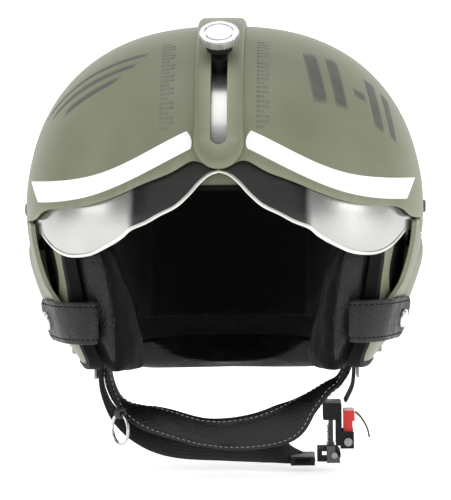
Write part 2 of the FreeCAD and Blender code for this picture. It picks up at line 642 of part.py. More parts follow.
def make_chin_strap():
    """Webbing, chin pad, right hand strap, slider and ring loop."""
    hole = x_cylinder(-100, STRAP_Y, STRAP_PIVOT_Z, 200, RIVET_RADIUS + FIT_GAP)
    top = STRAP_PIVOT_Z + 8
    web = strap([(-WEB_X, STRAP_Y, top, 0, 25), (-WEB_X, STRAP_Y, -95, 0, 25), (-WEB_X, STRAP_Y, -106, 0, 25),
                 (-82.8, 5.5, -122, 4, 25), (-75, 4.5, -137, 16, 25), (-58, 3.5, -148, 42, 25),
                 (-34, 2.5, -154.5, 70, 25), (0, 2.0, -156.5, 84, 25), (26, 2.5, -158.5, 66, 25),
                 (42, 4.5, -165, 22, 25), (57.5, STRAP_Y, -168, 0, 25)], WEB_THICK)
    save("chin_webbing", main_solid(web.cut(hole)))
    pad = strap([(-79.6, 5, -101, 0, 17), (-79.4, 5, -110, 0, 18), (-76.4, 4.5, -121.5, 8, 18),
                 (-70, 4.2, -130.8, 16, 17.6), (-58, 0, -137.5, 40, 20.5), (-40, -3.5, -142.5, 72, 20),
                 (-14, -5.5, -149, 86, 20), (14, -6.0, -149, 90, 24), (38, -5.5, -143, 84, 27),
                 (54, -3.2, -130.5, 48, 19.5), (65, 1, -121.5, 20, 18), (74, 4.5, -116, 8, 17.5),
                 (79.2, 5, -108.5, 0, 17), (79.6, 5, -101, 0, 17)], 5.0)
    save("chin_pad", main_solid(pad))
    right = strap([(WEB_X, STRAP_Y, top, 0, 25), (WEB_X, STRAP_Y, -95, 0, 25), (WEB_X, STRAP_Y, -106, 0, 25),
                   (83.6, STRAP_Y, -118, 0, 25), (80.2, STRAP_Y, -126, 0, 25), (77.6, STRAP_Y, -131, 0, 25)], WEB_THICK)
    save("buckle_strap", main_solid(right.cut(hole).cut(box(70, 79, -20, 30, -150, -129.5))))
    anchor = make_anchor()
    save("anchor_plate_left", anchor)
    save("anchor_plate_right", mirrored(anchor))
    plates = [box(42, 58, STRAP_Y - 15, STRAP_Y + 15, z, z + 1.3) for z in (-166.4, -170.9)]
    posts = [box(x, x + 3, y, y + 2, -170.9, -165.1) for x in (42, 55) for y in (STRAP_Y - 15, STRAP_Y + 13)]
    slider = plates[0].fuse(plates[1:] + posts)
    save("strap_slider", main_solid(slider.cut(main_solid(web))))


def make_buckle():
    """The micrometric buckle: housing, sprung lever with its tab and pin, toothed tongue and its webbing loop."""
    low, high = BUCKLE_LOW_Y, BUCKLE_HIGH_Y
    lx, lz = LEVER_PIN
    body = box(72, 76, low, high, -158, -129.5).fuse(box(63.5, 73, low, high, -141, -129.5))
    ears = [box(75, 84, y, y + 2.5, -160, -149) for y in (low, high - 2.5)]
    body = body.fuse(ears)
    body = rounded(body.removeSplitter(), 1.2, lambda e: e.BoundBox.YMax - e.BoundBox.YMin > 20
                   and (e.BoundBox.ZMin > -130 or e.BoundBox.XMax < 64))
    track = box(65.9, 70.6, low + 2.7, high - 2.7, -150, -130.2)
    save("buckle_housing", main_solid(body.cut([track, y_cylinder(lx, lz, 2.0)])))
    pin = y_cylinder(lx, lz, 2.0, low - 0.4, high + 0.4)
    heads = [y_cylinder(lx, lz, 2.7, low - 1.6, low), y_cylinder(lx, lz, 2.7, high, high + 1.6)]
    save("lever_pin", main_solid(pin.fuse(heads)))
    lever = box(77.2, 83.2, low + 2.9, high - 2.9, -155.5, -135)
    knuckle = y_cylinder(lx, lz, 3.0, low + 2.9, high - 2.9)
    grip = box(82, 84.6, low + 2.9, high - 2.9, -142, -135)
    lever = lever.fuse([knuckle, grip]).removeSplitter()
    lever = rounded(lever, 1.0, lambda e: e.BoundBox.YMax - e.BoundBox.YMin > 20 and e.BoundBox.ZMin > -136)
    save("buckle_lever", main_solid(lever.cut(y_cylinder(lx, lz, 2.3))))
    tab = strap([(85.3, STRAP_Y, -137, 0, 13), (89, STRAP_Y, -140.5, 0, 13), (92.8, STRAP_Y, -147, 0, 13),
                 (94.6, STRAP_Y, -154, 0, 13)], 1.2)
    save("pull_tab", main_solid(tab))
    tx, tz = TONGUE_PIN
    tongue = box(67.3, 70.3, low + 3.0, high - 3.0, -159.7, -137.5)
    teeth = [prism(outline([(67.3, z, 0), (66.3, z, 0), (67.3, z + 2.2, 0)]), FRONT_VIEW, -high + 3.4, -low - 3.4)
             for z in (-158, -154.5, -151, -147.5)]
    cheeks = [box(66, 74.6, y, y + 2.0, -169.5, -164.8) for y in (low + 0.5, high - 2.5)]
    cheeks += [box(66, 71.4, y, y + 2.0, -169.5, -158.3) for y in (low + 0.5, high - 2.5)]
    bridge = box(66, 71, low + 0.5, high - 0.5, -159.7, -158.3)
    window = box(60, 80, STRAP_Y - 4, STRAP_Y + 4, -156.5, -146)
    tongue = tongue.fuse(teeth + cheeks + [bridge])
    save("ratchet_tongue", main_solid(tongue.cut([y_cylinder(tx, tz, 2.0), window])))
    bar = y_cylinder(tx, tz, 2.0, low - 0.8, high + 0.8)
    save("tongue_pin", bar)
    loop = stadium(59.2, tx, tz, 4.4).cut(stadium(62.5, tx, tz, 2.3))
    save("webbing_loop", main_solid(loop))


def stadium(left_x, right_x, z, radius):
    """A flat block with one round end, across the buckle's inner width."""
    low, high = BUCKLE_LOW_Y + 2.8, BUCKLE_HIGH_Y - 2.8
    return box(left_x, right_x, low, high, z - radius, z + radius).fuse(y_cylinder(right_x, z, radius, low, high))


def make_ring():
    """A wire ring that hangs from a short tube loop on the left of the strap."""
    centre = RING_HANG - V(0, 0, RING_RADIUS)
    normal = RING_AXIS.cross(V(0, 0, 1)).normalize()
    save("lock_ring", Part.makeTorus(RING_RADIUS, RING_WIRE, centre, normal))
    axis = V(RING_AXIS).normalize()
    tube = cylinder(RING_HANG - axis * 2.5, axis, 5, 3.3)
    arm = box(-73, -67, -15.6, -7.2, -133.6, -132.0)
    bore = cylinder(RING_HANG - axis * 4, axis, 8, 1.8)
    save("ring_loop", main_solid(tube.fuse(arm).cut(bore)))


# ---------------------------------------------------------------- reflective strips

# (x, z): the upper and lower edges of a strip seen from the front, from the ridge out.
STRIP_TOP = [(20, 49.5), (40, 39.5), (60, 29.5), (80, 22.5), (98, 19.8), (124, 19.1)]
STRIP_BOTTOM = [(118, 5.8), (98, 6.8), (80, 10.2), (60, 17.4), (40, 27), (17.5, 38.5)]
STRIP_THICK = 0.35


def make_strip():
    """The left reflective strip, a thin film on the visor cover."""
    top = Part.BSplineCurve()
    top.interpolate([V(x, z, 0) for x, z in STRIP_TOP])
    bottom = Part.BSplineCurve()
    bottom.interpolate([V(x, z, 0) for x, z in STRIP_BOTTOM])
    inner = Part.Arc(V(*STRIP_BOTTOM[-1], 0), V(17.0, 44.5, 0), V(*STRIP_TOP[0], 0))
    outer = Part.makeLine(V(*STRIP_TOP[-1], 0), V(*STRIP_BOTTOM[0], 0))
    wire = Part.Wire([top.toShape(), outer, bottom.toShape(), inner.toShape()])
    film = barrel(COVER_HALF_WIDTH + STRIP_THICK, COVER_RADIUS + STRIP_THICK).cut(
        barrel(COVER_HALF_WIDTH, COVER_RADIUS))
    return main_solid(film.common(prism(wire, FRONT_VIEW, 0, FAR)))


# ---------------------------------------------------------------- the whole helmet

def make_helmet():
    os.makedirs("parts", exist_ok=True)
    shell = make_shell()
    trim = make_trim(shell)
    side_cover = make_side_cover()
    side_cover = main_solid(side_cover.cut(trim))
    flap, fold, cap, stud, _ = make_leather(side_cover, shell)
    fold = main_solid(fold.cut([shell, trim, side_cover]))
    save("outer_shell", shell)
    save("edge_trim", trim)
    make_linings(fold)
    screws = make_side_screws(side_cover)
    drilled = main_solid(side_cover.cut(screws))
    save("side_cover_left", drilled)
    save("side_cover_right", mirrored(drilled))
    pins = [main_solid(s.cut([drilled, shell])) for s in screws]
    save("side_cover_screws", *(pins + [mirrored(s) for s in pins]))
    for name, part in (("leather_flap", flap), ("leather_fold", fold), ("snap_cap", cap), ("snap_stud", stud)):
        save(name + "_left", part)
        save(name + "_right", mirrored(part))
    cover = make_cover()
    save("visor_cover", cover)
    strip = main_solid(make_strip().cut(cover))
    save("reflective_strip_left", strip)
    save("reflective_strip_right", mirrored(strip))
    save("visor", make_visor())
    make_knob_parts()
    make_pivots()
    make_rivets()
    make_chin_strap()
    make_buckle()
    make_ring()


make_helmet()
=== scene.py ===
import math

import bmesh
import bpy
from mathutils import Matrix, Vector as V, noise
from mathutils.bvhtree import BVHTree


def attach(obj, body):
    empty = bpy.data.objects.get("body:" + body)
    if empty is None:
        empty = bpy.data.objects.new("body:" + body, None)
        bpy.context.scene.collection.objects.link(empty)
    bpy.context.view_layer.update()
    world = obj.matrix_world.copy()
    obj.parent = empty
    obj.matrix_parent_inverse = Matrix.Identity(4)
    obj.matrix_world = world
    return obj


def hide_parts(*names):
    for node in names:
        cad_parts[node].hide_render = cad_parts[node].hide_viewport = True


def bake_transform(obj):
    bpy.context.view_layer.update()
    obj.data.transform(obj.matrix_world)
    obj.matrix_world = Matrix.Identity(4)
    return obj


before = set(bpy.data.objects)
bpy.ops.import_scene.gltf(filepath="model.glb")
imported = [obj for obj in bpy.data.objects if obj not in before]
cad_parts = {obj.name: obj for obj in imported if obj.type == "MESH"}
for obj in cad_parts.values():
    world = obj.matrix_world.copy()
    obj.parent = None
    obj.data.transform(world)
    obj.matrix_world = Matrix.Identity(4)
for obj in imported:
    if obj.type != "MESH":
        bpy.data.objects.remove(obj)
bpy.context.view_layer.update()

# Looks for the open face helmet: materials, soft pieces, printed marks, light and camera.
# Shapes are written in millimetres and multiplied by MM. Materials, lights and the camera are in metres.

MM = 0.001
SIDES = (("left", 1.0), ("right", -1.0))


# ---------------------------------------------------------------- materials

def rgb(red, green, blue):
    """Linear colour from the 0 to 255 values that a screen shows."""
    def linear(value):
        value = value / 255.0
        return value / 12.92 if value <= 0.04045 else ((value + 0.055) / 1.055) ** 2.4
    return (linear(red), linear(green), linear(blue), 1.0)


class Finish:
    """A procedural material: two noise-mixed colours, varied roughness and one or more layers of bump."""

    CLOUD = (0.3, 0.7)    # the part of the noise between which colour and roughness change
    EDGE = (0.52, 0.62)   # the pointiness between which an edge starts and ends to look paler

    def __init__(self, name, low, high, spread, roughness, metallic=0.0, specular=0.5, sheen=0.0, coat=0.0):
        self.material = bpy.data.materials.new(name)
        self.material.use_nodes = True
        self.tree = self.material.node_tree
        self.shader = self.tree.nodes["Principled BSDF"]
        self.shader.inputs["Metallic"].default_value = metallic
        self.shader.inputs["Specular IOR Level"].default_value = specular
        self.shader.inputs["Sheen Weight"].default_value = sheen
        self.shader.inputs["Coat Weight"].default_value = coat
        self.place = self.node("ShaderNodeTexCoord").outputs["Object"]
        cloud = self.noise(spread, 4.0)
        self.colour = self.mix(self.ramp(cloud, *self.CLOUD), low, high)
        self.link(self.colour, self.shader.inputs["Base Color"])
        rough = self.node("ShaderNodeMapRange")
        self.link(cloud, rough.inputs["Value"])
        for end, cloud_value, rough_value in zip(("Min", "Max"), self.CLOUD, roughness):
            rough.inputs["From " + end].default_value = cloud_value
            rough.inputs["To " + end].default_value = rough_value
        self.link(rough.outputs["Result"], self.shader.inputs["Roughness"])
        self.normal = None

    def node(self, kind):
        return self.tree.nodes.new(kind)

    def link(self, source, target):
        self.tree.links.new(source, target)

    def noise(self, scale, detail):
        texture = self.node("ShaderNodeTexNoise")
        texture.inputs["Scale"].default_value = scale
        texture.inputs["Detail"].default_value = detail
        self.link(self.place, texture.inputs["Vector"])
        return texture.outputs["Fac"]

    def cells(self, scale):
        """Distance to the nearest border between irregular cells."""
        texture = self.node("ShaderNodeTexVoronoi")
        texture.feature = "DISTANCE_TO_EDGE"
        texture.inputs["Scale"].default_value = scale
        self.link(self.place, texture.inputs["Vector"])
        return texture.outputs["Distance"]

    def ramp(self, value, low, high):
        ramp = self.node("ShaderNodeMapRange")
        ramp.interpolation_type = "SMOOTHSTEP"
        self.link(value, ramp.inputs["Value"])
        ramp.inputs["From Min"].default_value = low
        ramp.inputs["From Max"].default_value = high
        return ramp.outputs["Result"]

    def mix(self, share, first, second):
        mix = self.node("ShaderNodeMix")
        mix.data_type = "RGBA"
        self.link(share, mix.inputs["Factor"])
        for socket, value in ((mix.inputs[6], first), (mix.inputs[7], second)):
            if isinstance(value, tuple):
                socket.default_value = value
            else:
                self.link(value, socket)
        return mix.outputs[2]

    def math(self, operation, first, second=None):
        node = self.node("ShaderNodeMath")
        node.operation = operation
        for socket, value in zip(node.inputs, (first, second)):
            if value is None:
                continue
            if isinstance(value, (int, float)):
                socket.default_value = value
            else:
                self.link(value, socket)
        return node.outputs[0]

    def recolour(self, share, colour):
        """Lays another colour over the base where share is 1."""
        self.colour = self.mix(share, self.colour, colour)
        self.link(self.colour, self.shader.inputs["Base Color"])

    def bump(self, height, distance, strength=1.0):
        node = self.node("ShaderNodeBump")
        node.inputs["Distance"].default_value = distance
        node.inputs["Strength"].default_value = strength
        self.link(height, node.inputs["Height"])
        if self.normal:
            self.link(self.normal, node.inputs["Normal"])
        self.normal = node.outputs["Normal"]
        self.link(self.normal, self.shader.inputs["Normal"])

    def pale_edges(self, colour, amount):
        """Lightens sharp outer edges a little."""
        point = self.node("ShaderNodeNewGeometry").outputs["Pointiness"]
        self.recolour(self.math("MULTIPLY", self.ramp(point, *self.EDGE), amount), colour)

    def axis(self, name):
        split = self.node("ShaderNodeSeparateXYZ")
        self.link(self.place, split.inputs[0])
        return split.outputs[name]


def scaled(colour, factor, rise=0.0):
    """A colour made lighter or darker, still opaque."""
    return tuple(min(1.0, c * factor + rise) for c in colour[:3]) + (1.0,)


def olive(name, shade=1.0):
    """Matt olive paint with a fine grain and sharp edges made paler."""
    low = scaled(rgb(116, 119, 96), shade)
    high = scaled(rgb(126, 129, 105), shade)
    paint = Finish(name, low, high, 22.0, (0.42, 0.5), specular=0.45)
    paint.bump(paint.noise(2600.0, 2.0), 0.00004)
    paint.bump(paint.noise(150.0, 1.0), 0.00012, 0.4)
    paint.pale_edges(rgb(160, 163, 143), 0.5)
    return paint.material


def leather_finish(name, low, high):
    """Leather or vinyl: pebbled cells over slow dents."""
    hide = Finish(name, low, high, 140.0, (0.4, 0.58), specular=0.42)
    hide.bump(hide.cells(430.0), 0.0006, 1.0)
    hide.bump(hide.noise(200.0, 3.0), 0.0006, 0.8)
    return hide.material


KNIT_WAVES = 3900.0   # radians of stitch wave for each metre
RIB_PITCH = 0.0013    # between two ribs of the webbing, in metres


def cloth_finish(name, low, high):
    """Knitted cloth: a wave along each axis makes the loops, and noise makes small creases."""
    cloth = Finish(name, low, high, 90.0, (0.85, 0.95), specular=0.2, sheen=0.04)
    weave = None
    for axis in ("X", "Y", "Z"):
        wave = cloth.math("SINE", cloth.math("MULTIPLY", cloth.axis(axis), KNIT_WAVES))
        weave = wave if weave is None else cloth.math("ADD", weave, wave)
    cloth.bump(weave, 0.00006, 0.5)
    cloth.bump(cloth.noise(330.0, 4.0), 0.0005, 0.5)
    return cloth.material


def webbing_finish(name):
    """Ribbed webbing. The ribs across it follow the strap through the mesh's own map, and their crests carry
    a painted highlight.
    """
    web = Finish(name, rgb(14, 14, 14), rgb(26, 26, 27), 300.0, (0.6, 0.75), specular=0.4, sheen=0.15)
    chart = web.node("ShaderNodeUVMap")
    chart.uv_map = "along"
    split = web.node("ShaderNodeSeparateXYZ")
    web.link(chart.outputs["UV"], split.inputs[0])
    ribs = web.math("SINE", web.math("MULTIPLY", split.outputs["X"], 2 * math.pi / RIB_PITCH))
    web.bump(ribs, 0.0002, 1.0)
    # Rib crests painted lighter: a painted highlight where light would catch them.
    web.recolour(web.math("MULTIPLY", web.ramp(ribs, 0.1, 1.0), 0.5), rgb(46, 46, 48))
    web.bump(web.noise(900.0, 2.0), 0.0001, 0.5)
    return web.material


def metal_finish(name, low, high, roughness, brush=0.0):
    """Metal with slight dents and, where brush is set, a fine grain of that scale."""
    metal = Finish(name, low, high, 90.0, roughness, metallic=1.0)
    if brush:
        metal.bump(metal.noise(brush, 3.0), 0.00003, 0.5)
    metal.bump(metal.noise(420.0, 3.0), 0.00004, 0.4)
    return metal.material


def plastic_finish(name, low, high, roughness=(0.4, 0.55), specular=0.3, edge_paling=0.5):
    """Moulded plastic, rubber, thread or ink with a fine grain."""
    plastic = Finish(name, low, high, 120.0, roughness, specular=specular)
    plastic.bump(plastic.noise(1900.0, 2.0), 0.00006, 0.7)
    plastic.pale_edges(scaled(high, 2.2, 0.02), edge_paling)
    return plastic.material


MIRROR_SIDES = (0.055, 0.061)   # distance from the middle plane at which the mirror starts and is full
MIRROR_TOP = (0.036, 0.044)     # height at which it starts and is full, behind the cover's slot
MIRROR_WAVER = 0.006
SMOKE_ALPHA = 0.68
MIRROR_ALPHA = 0.98


def visor_finish():
    """Silver mirror towards both sides and dark smoke in the middle, on one clear sheet."""
    sheet = Finish("visor_sheet", rgb(176, 177, 174), rgb(198, 199, 196), 14.0, (0.22, 0.3), specular=0.6,
                   coat=0.3)
    across = sheet.math("ABSOLUTE", sheet.axis("X"))
    wavy = sheet.math("ADD", across, sheet.math("MULTIPLY", sheet.noise(30.0, 1.0), MIRROR_WAVER))
    high = sheet.ramp(sheet.axis("Z"), *MIRROR_TOP)
    mirror = sheet.math("MAXIMUM", sheet.ramp(wavy, *MIRROR_SIDES), high)
    sheet.colour = sheet.mix(mirror, rgb(28, 27, 27), sheet.colour)
    sheet.link(sheet.colour, sheet.shader.inputs["Base Color"])
    sheet.link(sheet.math("MULTIPLY", mirror, 0.9), sheet.shader.inputs["Metallic"])
    alpha = sheet.math("ADD", sheet.math("MULTIPLY", mirror, MIRROR_ALPHA - SMOKE_ALPHA), SMOKE_ALPHA)
    sheet.link(alpha, sheet.shader.inputs["Alpha"])
    return sheet.material


def foam_finish():
    """Beads of moulded foam."""
    foam = Finish("bead_foam", rgb(20, 20, 20), rgb(34, 34, 34), 200.0, (0.7, 0.85))
    foam.bump(foam.cells(260.0), 0.0006, 0.9)
    return foam.material


def film_finish():
    """White reflective film with a fine honeycomb, and a faint painted glow."""
    film = Finish("reflective_film", rgb(236, 239, 239), rgb(250, 252, 252), 40.0, (0.3, 0.4), coat=0.3)
    film.bump(film.cells(1100.0), 0.00005, 0.6)
    # A faint glow though the film is no lamp: painted light.
    film.shader.inputs["Emission Color"].default_value = rgb(240, 245, 244)
    film.shader.inputs["Emission Strength"].default_value = 0.12
    return film.material


FINISHES = {
    "shell": olive("olive_shell", 0.97),
    "cover": olive("olive_cover"),
    "trim": plastic_finish("trim_rubber", rgb(3, 3, 3), rgb(7, 7, 7), (0.5, 0.65), 0.12, 0.1),
    "foam": foam_finish(),
    "cloth": cloth_finish("comfort_cloth", rgb(7, 7, 7), rgb(12, 12, 12)),
    "vinyl": leather_finish("cheek_vinyl", rgb(12, 12, 13), rgb(20, 20, 21)),
    "leather": leather_finish("strap_leather", rgb(20, 20, 20), rgb(32, 32, 32)),
    "band": leather_finish("chin_band_leather", rgb(18, 18, 18), rgb(28, 28, 28)),
    "thread": plastic_finish("dark_thread", rgb(4, 4, 4), rgb(8, 8, 8), (0.7, 0.9), 0.1, 0.0),
    "pale_thread": plastic_finish("pale_thread", rgb(112, 110, 105), rgb(134, 132, 126), (0.7, 0.9)),
    "web": webbing_finish("ribbed_webbing"),
    "visor": visor_finish(),
    "film": film_finish(),
    "bead": metal_finish("bright_edge", rgb(214, 214, 206), rgb(234, 234, 228), (0.3, 0.42)),
    "chrome": metal_finish("bright_metal", rgb(196, 196, 196), rgb(222, 222, 222), (0.16, 0.26), 1500.0),
    "steel": metal_finish("plain_steel", rgb(140, 141, 143), rgb(168, 169, 171), (0.35, 0.48), 700.0),
    "painted_screw": olive("olive_screw", 0.45),
    "black": plastic_finish("black_nylon", rgb(6, 6, 7), rgb(13, 13, 14), (0.4, 0.55), 0.2, 0.2),
    "grey": plastic_finish("grey_nylon", rgb(44, 47, 49), rgb(62, 66, 68)),
    "red": plastic_finish("red_nylon", rgb(176, 24, 20), rgb(206, 36, 30), (0.25, 0.4)),
    "mark": plastic_finish("grey_marking", rgb(84, 86, 78), rgb(96, 98, 90), (0.5, 0.6)),
}

# CAD nodes that keep their own shape. The others are replaced below, and ring_loop keeps its packed colour.
FINISHED_NODES = {
    "shell": ("outer_shell", "side_cover_left", "side_cover_right"),
    "cover": ("visor_cover",),
    "trim": ("edge_trim",),
    "foam": ("eps_liner",),
    "painted_screw": ("side_cover_screws", "pivot_screw_left", "pivot_screw_right"),
    "steel": ("snap_stud_left", "snap_stud_right", "knob_clamp_plate", "knob_clamp_screw", "pivot_nut_left",
              "pivot_nut_right", "strap_rivet_left", "strap_rivet_right", "anchor_plate_left",
              "anchor_plate_right", "lever_pin", "tongue_pin"),
    "chrome": ("snap_cap_left", "snap_cap_right", "lock_knob", "lock_ring"),
    "film": ("reflective_strip_left", "reflective_strip_right"),
    "visor": ("visor",),
    "black": ("slider_block", "visor_bush_left", "visor_bush_right", "strap_slider", "buckle_housing"),
    "grey": ("ratchet_tongue",),
    "red": ("buckle_lever",),
}

for finish, nodes in FINISHED_NODES.items():
    for node in nodes:
        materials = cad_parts[node].data.materials
        materials.clear()
        materials.append(FINISHES[finish])


# ---------------------------------------------------------------- mesh helpers

def dress(obj, finish, body, replaces=()):
    """Gives a new piece its finish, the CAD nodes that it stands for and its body."""
    obj.data.materials.clear()
    obj.data.materials.append(FINISHES[finish])
    if replaces:
        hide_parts(*replaces)
    if body:
        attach(obj, body)
    return obj


def smooth_shaded(mesh):
    mesh.polygons.foreach_set("use_smooth", [True] * len(mesh.polygons))


def linked(name, data):
    """A new object of a mesh, a light or a camera, in the scene."""
    obj = bpy.data.objects.new(name, data)
    bpy.context.scene.collection.objects.link(obj)
    return obj


def new_piece(name, verts, faces, finish, body, replaces=(), charts=None):
    """A smooth mesh piece. charts gives each point's place along and across a strap."""
    mesh = bpy.data.meshes.new(name)
    mesh.from_pydata([tuple(v) for v in verts], [], faces)
    if charts:
        layer = mesh.uv_layers.new(name="along")
        for polygon in mesh.polygons:
            for loop in polygon.loop_indices:
                layer.data[loop].uv = charts[mesh.loops[loop].vertex_index]
    bm = bmesh.new()
    bm.from_mesh(mesh)
    bmesh.ops.recalc_face_normals(bm, faces=bm.faces)
    bm.to_mesh(mesh)
    bm.free()
    smooth_shaded(mesh)
    return dress(linked(name, mesh), finish, body, replaces)


def loft_faces(rings, ring_size, first=0):
    """Faces of a closed tube through rings of points that follow each other, with a cap at each end."""
    faces = []
    for i in range(rings - 1):
        here = first + i * ring_size
        ahead = here + ring_size
        for j in range(ring_size):
            k = (j + 1) % ring_size
            faces.append((here + j, ahead + j, ahead + k, here + k))
    end = first + (rings - 1) * ring_size
    faces.append(tuple(range(first, first + ring_size)))
    faces.append(tuple(range(end + ring_size - 1, end - 1, -1)))
    return faces


def film_faces(columns, rows, first=0):
    """Faces of a thin closed film: a grid of outer points, followed by the same grid of inner points."""
    n = columns + 1
    layer = n * (rows + 1)
    faces = []
    for r in range(rows):
        for c in range(columns):
            i = first + r * n + c
            faces.append((i, i + 1, i + n + 1, i + n))
            faces.append((i + layer + n, i + layer + n + 1, i + layer + 1, i + layer))
    rim = [r * n for r in range(rows)] + [rows * n + c for c in range(columns)]
    rim += [r * n + columns for r in range(rows, 0, -1)] + list(range(columns, 0, -1))
    for i, j in zip(rim, rim[1:] + rim[:1]):
        faces.append((first + i, first + j, first + j + layer, first + i + layer))
    return faces


def power_round(angle, across, thick):
    """A point of a section, as shares of half its width and thickness. Powers under 1 make it squarer."""
    c, s = math.cos(angle), math.sin(angle)
    return math.copysign(abs(c) ** across, c), math.copysign(abs(s) ** thick, s)


def spline(points, count):
    """Points along a smooth curve through the given ones."""
    points = [V(p) for p in points]
    ends = [points[0] * 2 - points[1]] + points + [points[-1] * 2 - points[-2]]
    result = []
    spans = len(points) - 1
    for step in range(count + 1):
        t = spans * step / count
        i = min(int(t), spans - 1)
        t -= i
        a, b, c, d = ends[i:i + 4]
        result.append(0.5 * (b * 2 + (c - a) * t + (a * 2 - b * 5 + c * 4 - d) * t ** 2
                             + (b * 3 - a - c * 3 + d) * t ** 3))
    return result


def strap_frames(stations, count):
    """Middle, three directions and width at steps of a strap given by (x, y, z, twist, width) stations."""
    middles = spline([V(s[:3]) * MM for s in stations], count)
    extras = spline([(s[3], s[4], 0) for s in stations], count)
    frames = []
    for i, m in enumerate(middles):
        along = (middles[min(i + 1, count)] - middles[max(i - 1, 0)]).normalized()
        a = math.radians(extras[i].x)
        wide = V((0, math.cos(a), math.sin(a)))
        wide = (wide - along * wide.dot(along)).normalized()
        frames.append((m, along, wide, along.cross(wide), extras[i].y * MM))
    return frames


def ribbed_section(thick):
    """Points round a webbing's section as (share of half width, offset in thickness), with ribs along it."""
    ribs, per_rib = 10, 4
    rib_depth = 0.16
    steps = ribs * per_rib
    points = []
    for side in (1, -1):
        for i in range(steps + 1):
            u = -1 + 2 * i / steps
            edge = min(1.0, (1 - abs(u)) * 9)
            rise = 1 - rib_depth + rib_depth * math.cos(2 * math.pi * i / per_rib)
            points.append((u * side, side * thick / 2 * rise * math.sqrt(max(edge, 0.04))))
    return points


def rounded_section(thick, power):
    """Points round a leather strap's section. A greater power makes its edges squarer."""
    steps = 36
    points = []
    for i in range(steps):
        u, t = power_round(2 * math.pi * i / steps, 2 / power, 2 / 2.2)
        points.append((u, thick / 2 * t))
    return points


def strap_piece(name, stations, ring, finish, body, replaces, count, swell=None):
    """A strap lofted along its stations. swell(share along, share across, face) moves its surface out."""
    frames = strap_frames(stations, count)
    verts, charts = [], []
    length = 0.0
    for i, (m, _, wide, out, width) in enumerate(frames):
        if i:
            length += (m - frames[i - 1][0]).length
        for u, t in ring:
            grow = swell(i / count, u, 1 if t > 0 else -1) if swell else 0.0
            verts.append(m + wide * (u * width / 2) + out * (t + math.copysign(grow, t)))
            charts.append((length, u * width / 2))
    faces = loft_faces(len(frames), len(ring))
    return new_piece(name, verts, faces, finish, body, replaces, charts), frames


def path_marks(path):
    """The distance walked along a path at each of its points."""
    marks = [0.0]
    for (a, _), (b, _) in zip(path, path[1:]):
        marks.append(marks[-1] + (b - a).length)
    return marks


def at_distance(path, marks, distance):
    """The point and the outward direction of a path at a distance along it."""
    i = 0
    while i < len(marks) - 2 and marks[i + 1] < distance:
        i += 1
    t = (distance - marks[i]) / max(marks[i + 1] - marks[i], 1e-9)
    return path[i][0].lerp(path[i + 1][0], t), path[i][1].lerp(path[i + 1][1], t).normalized()


# (share of a stitch's length, share of its radius, rise in radii) for each ring of one thread.
THREAD_RINGS = ((0.0, 0.45, -0.2), (0.2, 1.0, 0.9), (0.8, 1.0, 0.9), (1.0, 0.45, -0.2))


def stitches(name, path, finish, body, length=2.6, gap=1.1, radius=0.28):
    """A row of short threads along a path of (point, outward direction), as one mesh."""
    verts, faces = [], []
    pitch = (length + gap) * MM
    thread = radius * MM
    sides = 6
    marks = path_marks(path)
    for k in range(int(marks[-1] / pitch)):
        a, out = at_distance(path, marks, k * pitch + gap * MM / 2)
        b, _ = at_distance(path, marks, k * pitch + gap * MM / 2 + length * MM)
        side = (b - a).normalized().cross(out).normalized()
        faces += loft_faces(len(THREAD_RINGS), sides, len(verts))
        for share, swell, rise in THREAD_RINGS:
            middle = a.lerp(b, share) + out * (thread * rise)
            for j in range(sides):
                q = 2 * math.pi * j / sides
                verts.append(middle + (side * math.cos(q) + out * math.sin(q)) * (thread * swell))
    return new_piece(name, verts, faces, finish, body)


def tree_of(obj):
    return BVHTree.FromPolygons([v.co for v in obj.data.vertices], [p.vertices for p in obj.data.polygons])


def edge_line(frames, share, face, strap, first, last):
    """A stitch path along a strap at a share of its half width, lying on one face of the strap's own mesh."""
    above, reach = 9 * MM, 12 * MM
    tree = tree_of(strap)
    count = len(frames) - 1
    path = []
    for m, _, wide, out, width in frames[int(first * count):int(last * count) + 1]:
        outward = out * face
        hit = tree.ray_cast(m + wide * (share * width / 2) + outward * above, -outward, reach)[0]
        if hit is not None:
            path.append((hit, outward))
    return path


# ---------------------------------------------------------------- leather edge straps

LEATHER_Z = -72.0
LEATHER_HEIGHT = 27.4
LEATHER_THICK = 2.3
LEATHER_LEAN = math.tan(math.radians(14.0))
LEAN_START, LEAN_FULL = 84.0, 98.0   # x at which the leather starts to lean and leans fully
FREE_END = 11.0                      # length of the round free end
STITCH_INSET = 3.2                   # the pressed groove under a row of stitches, from the edge
STITCH_SHARE = 0.77                  # the same place as a share of half the height
CREASE = (107.19, -48.0)
# (x, y) of the leather's middle in millimetres, from the free end round the jaw and back inside.
LEATHER_PATH = [(119.36, -10.6), (117.05, -18.0), (114.06, -26.0), (111.97, -34.0), (109.59, -41.0), CREASE,
                (104.6, -53.5), (99.2, -59.5), (92.7, -63.5), (86.2, -64.0), (81.7, -60.5), (82.2, -55.0),
                (87.2, -51.0), (90.5, -47.5), (93.2, -42.0), (96.6, -33.0)]


def leather_frames(side, count):
    """Frames along one leather strap, in metres. side is 1 for the left one."""
    middles = spline([(x * side * MM, y * MM, LEATHER_Z * MM) for x, y in LEATHER_PATH], count)
    frames = []
    for i, m in enumerate(middles):
        along = (middles[min(i + 1, count)] - middles[max(i - 1, 0)]).normalized()
        share = min(1.0, max(0.0, (abs(m.x) / MM - LEAN_START) / (LEAN_FULL - LEAN_START)))
        wide = V((LEATHER_LEAN * share * side, 0, 1))
        out = V((-along.y, along.x, 0)) * side
        frames.append((m, along, wide, out, LEATHER_HEIGHT * MM))
    return frames


def blend_crease(piece):
    """Bakes a piece's transform into its mesh."""
    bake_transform(piece)


def end_share(length):
    """The share of its full height that the leather has at a distance from its round free end."""
    reach = min(1.0, length / (FREE_END * MM))
    rounding = math.sqrt(max(1 - (1 - reach) ** 2, 0.0))
    return max(rounding * 0.72 + 0.28 * min(1.0, reach * 6), 0.05)


